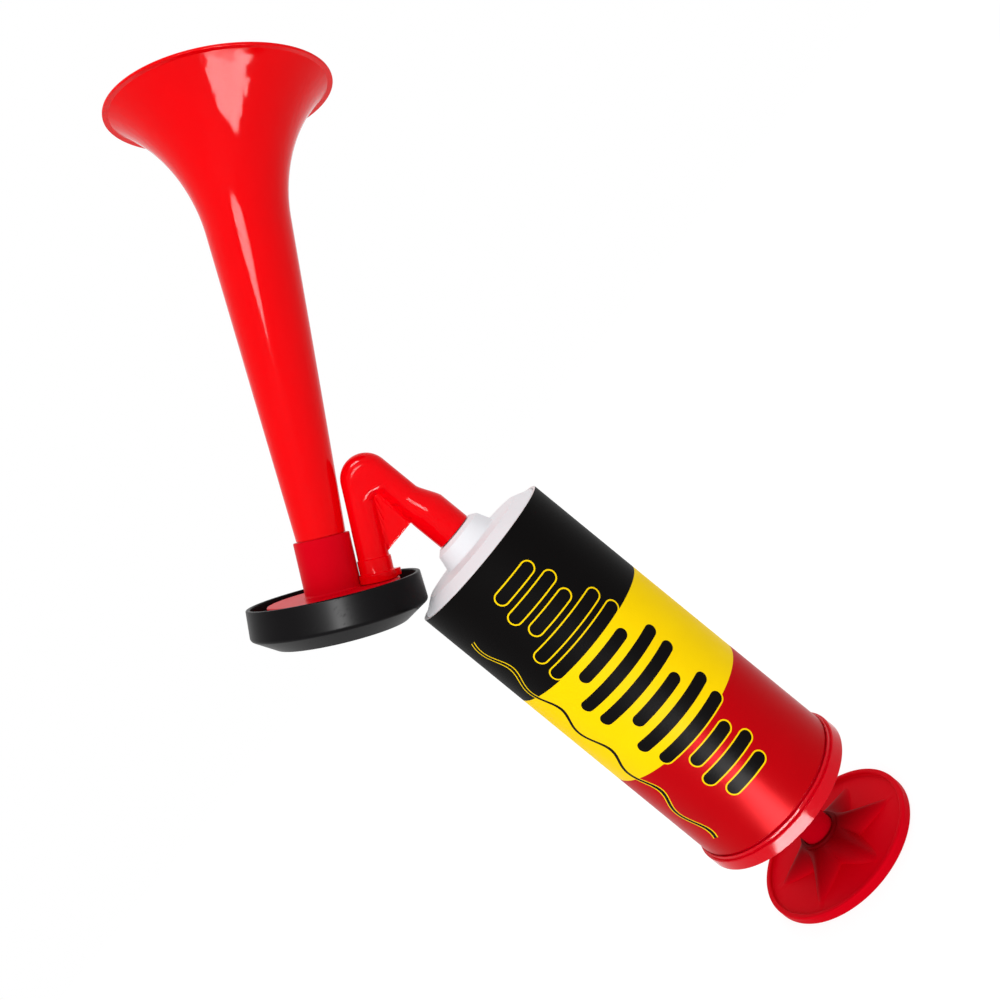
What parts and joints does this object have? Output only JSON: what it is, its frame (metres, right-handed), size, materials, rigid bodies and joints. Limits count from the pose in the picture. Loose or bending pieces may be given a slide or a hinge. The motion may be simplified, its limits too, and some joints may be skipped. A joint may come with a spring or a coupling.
{
  "type": "stadium horn",
  "caption": "Hand-pump stadium horn: a cylindrical air pump with a palm disc drives a diaphragm horn that swivels on its nozzle.",
  "frame": {"origin": "centre of the flat outer face of the pump handle, on which the horn stands upright", "axes": "+Z along the pump's axis from the handle to the nozzle; +X towards the side that the trumpet leans to; XZ is the plane of symmetry"},
  "size_m": [0.1691, 0.0798, 0.3543],
  "materials": {
    "glossy_red": "glossy moulded plastic",
    "crimson": "satin moulded plastic",
    "dark_red": "satin moulded plastic",
    "cap_red": "glossy, with fine rub marks",
    "rod_red": "glossy moulded plastic",
    "elbow_red": "glossy moulded plastic",
    "satin_black": "satin moulded plastic",
    "white": "satin moulded plastic",
    "printed_film": "printed in black, yellow and red bands, fine grain",
    "grey_plate": "moulded plastic, never seen",
    "black_rubber": "soft moulded rubber",
    "clear_film": "thin stiff film",
    "zinc_steel": "zinc plated"
  },
  "bodies": {
    "pump": {"barrel": "white", "print_sleeve": "printed_film", "rear_cap": "cap_red", "stop_buffer": "black_rubber"},
    "piston_seal": {"piston_cup": "black_rubber"},
    "plunger": {"plunger_rod": "rod_red", "handle_disc": "dark_red", "piston_front_plate": "grey_plate", "piston_back_plate": "grey_plate", "piston_washer": "zinc_steel", "piston_screw": "zinc_steel"},
    "horn_head": {"elbow_pipe": "elbow_red", "elbow_seal": "black_rubber", "sound_plate": "crimson", "diaphragm": "clear_film", "diaphragm_ring": "grey_plate", "chamber_cover": "satin_black", "trumpet": "glossy_red"}
  },
  "joints": [
    {"name": "plunger_stroke", "type": "slide", "parent": "pump", "child": "piston_seal", "axis": [0, 0, -1], "range_m": [0, 0.094]},
    {"name": "plunger_spin", "type": "hinge", "parent": "piston_seal", "child": "plunger", "pos_m": [0, 0, 0.1514], "axis": [0, 0, 1], "continuous": true},
    {"name": "horn_swivel", "type": "hinge", "parent": "pump", "child": "horn_head", "pos_m": [0, 0, 0.1728], "axis": [0, 0, 1], "continuous": true}
  ]
}
